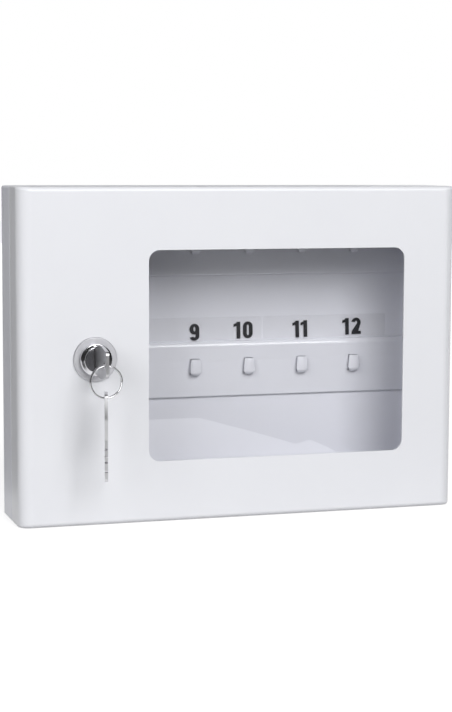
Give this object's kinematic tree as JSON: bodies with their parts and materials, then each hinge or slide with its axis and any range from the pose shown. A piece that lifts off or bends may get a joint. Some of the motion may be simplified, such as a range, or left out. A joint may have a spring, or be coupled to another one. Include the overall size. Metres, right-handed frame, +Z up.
{
  "type": "key cabinet",
  "caption": "Shallow steel wall cabinet with a windowed door on side hinges, a cam lock with its key and a spare key on a ring, and numbered key hooks inside.",
  "frame": {"origin": "middle of the casing's bottom face", "axes": "+X to the right as seen from the front, along the cabinet's width; +Y from the door towards the wall; +Z up"},
  "size_m": [0.33, 0.1071, 0.24],
  "materials": {
    "light_grey_paint": "smooth baked paint, slight gloss",
    "inner_grey_paint": "smooth baked paint",
    "clear_pane": "clear, polished",
    "clear_film": "clear film with printed numbers",
    "satin_steel": "satin",
    "chrome_plate": "bright plate",
    "zinc_hardware": "zinc plate",
    "nickel_plate": "nickel plate, slightly worn",
    "brass_wafer": "plain stamped",
    "nylon": "natural nylon"
  },
  "bodies": {
    "casing": {"rear_casing": "light_grey_paint", "hook_rail_lower": "inner_grey_paint", "hook_rail_upper": "inner_grey_paint", "rail_rivet_lower_left": "zinc_hardware", "rail_rivet_lower_right": "zinc_hardware", "rail_rivet_upper_left": "zinc_hardware", "rail_rivet_upper_right": "zinc_hardware", "hinge_bracket_lower": "zinc_hardware", "hinge_bracket_upper": "zinc_hardware", "bracket_rivet_lower_1": "zinc_hardware", "bracket_rivet_lower_2": "zinc_hardware", "bracket_rivet_upper_1": "zinc_hardware", "bracket_rivet_upper_2": "zinc_hardware", "hinge_washer_lower": "nylon", "hinge_washer_upper": "nylon", "label_strip_lower_left": "clear_film", "label_strip_lower_right": "clear_film", "label_strip_upper_left": "clear_film", "label_strip_upper_right": "clear_film"},
    "door": {"door_shell": "light_grey_paint", "window_pane": "clear_pane", "pane_channel_lower": "zinc_hardware", "pane_channel_upper": "zinc_hardware", "pane_stop_left": "zinc_hardware", "pane_stop_right": "zinc_hardware", "hinge_pin_lower": "zinc_hardware", "hinge_pin_upper": "zinc_hardware", "lock_rosette": "satin_steel", "lock_housing": "chrome_plate", "lock_nut": "zinc_hardware"},
    "plug": {"lock_plug": "chrome_plate", "lock_wafer_1": "brass_wafer", "lock_wafer_2": "brass_wafer", "lock_wafer_3": "brass_wafer", "lock_wafer_4": "brass_wafer", "lock_wafer_5": "brass_wafer", "lock_cam": "zinc_hardware", "cam_washer": "zinc_hardware", "cam_screw": "zinc_hardware"},
    "key": {"door_key": "nickel_plate"},
    "ring": {"key_ring": "nickel_plate"},
    "spare": {"spare_key": "nickel_plate"}
  },
  "joints": [
    {"name": "door_hinge", "type": "hinge", "parent": "casing", "child": "door", "pos_m": [0.16, -0.02295, 0.12], "axis": [0, 0, 1], "range_deg": [0, 105]},
    {"name": "plug_turn", "type": "hinge", "parent": "door", "child": "plug", "pos_m": [-0.1107, -0.05225, 0.1191], "axis": [0, 1, 0], "range_deg": [0, 90]},
    {"name": "key_slide", "type": "slide", "parent": "plug", "child": "key", "axis": [0, -1, 0], "range_m": [0, 0.032]},
    {"name": "ring_swing", "type": "hinge", "parent": "key", "child": "ring", "pos_m": [-0.1107, -0.0798, 0.11805], "axis": [1, 0, 0], "range_deg": [-90, 12]},
    {"name": "spare_key_swing", "type": "hinge", "parent": "ring", "child": "spare", "pos_m": [-0.1107, -0.0798, 0.09585], "axis": [1, 0, 0], "range_deg": [-90, 12]}
  ]
}
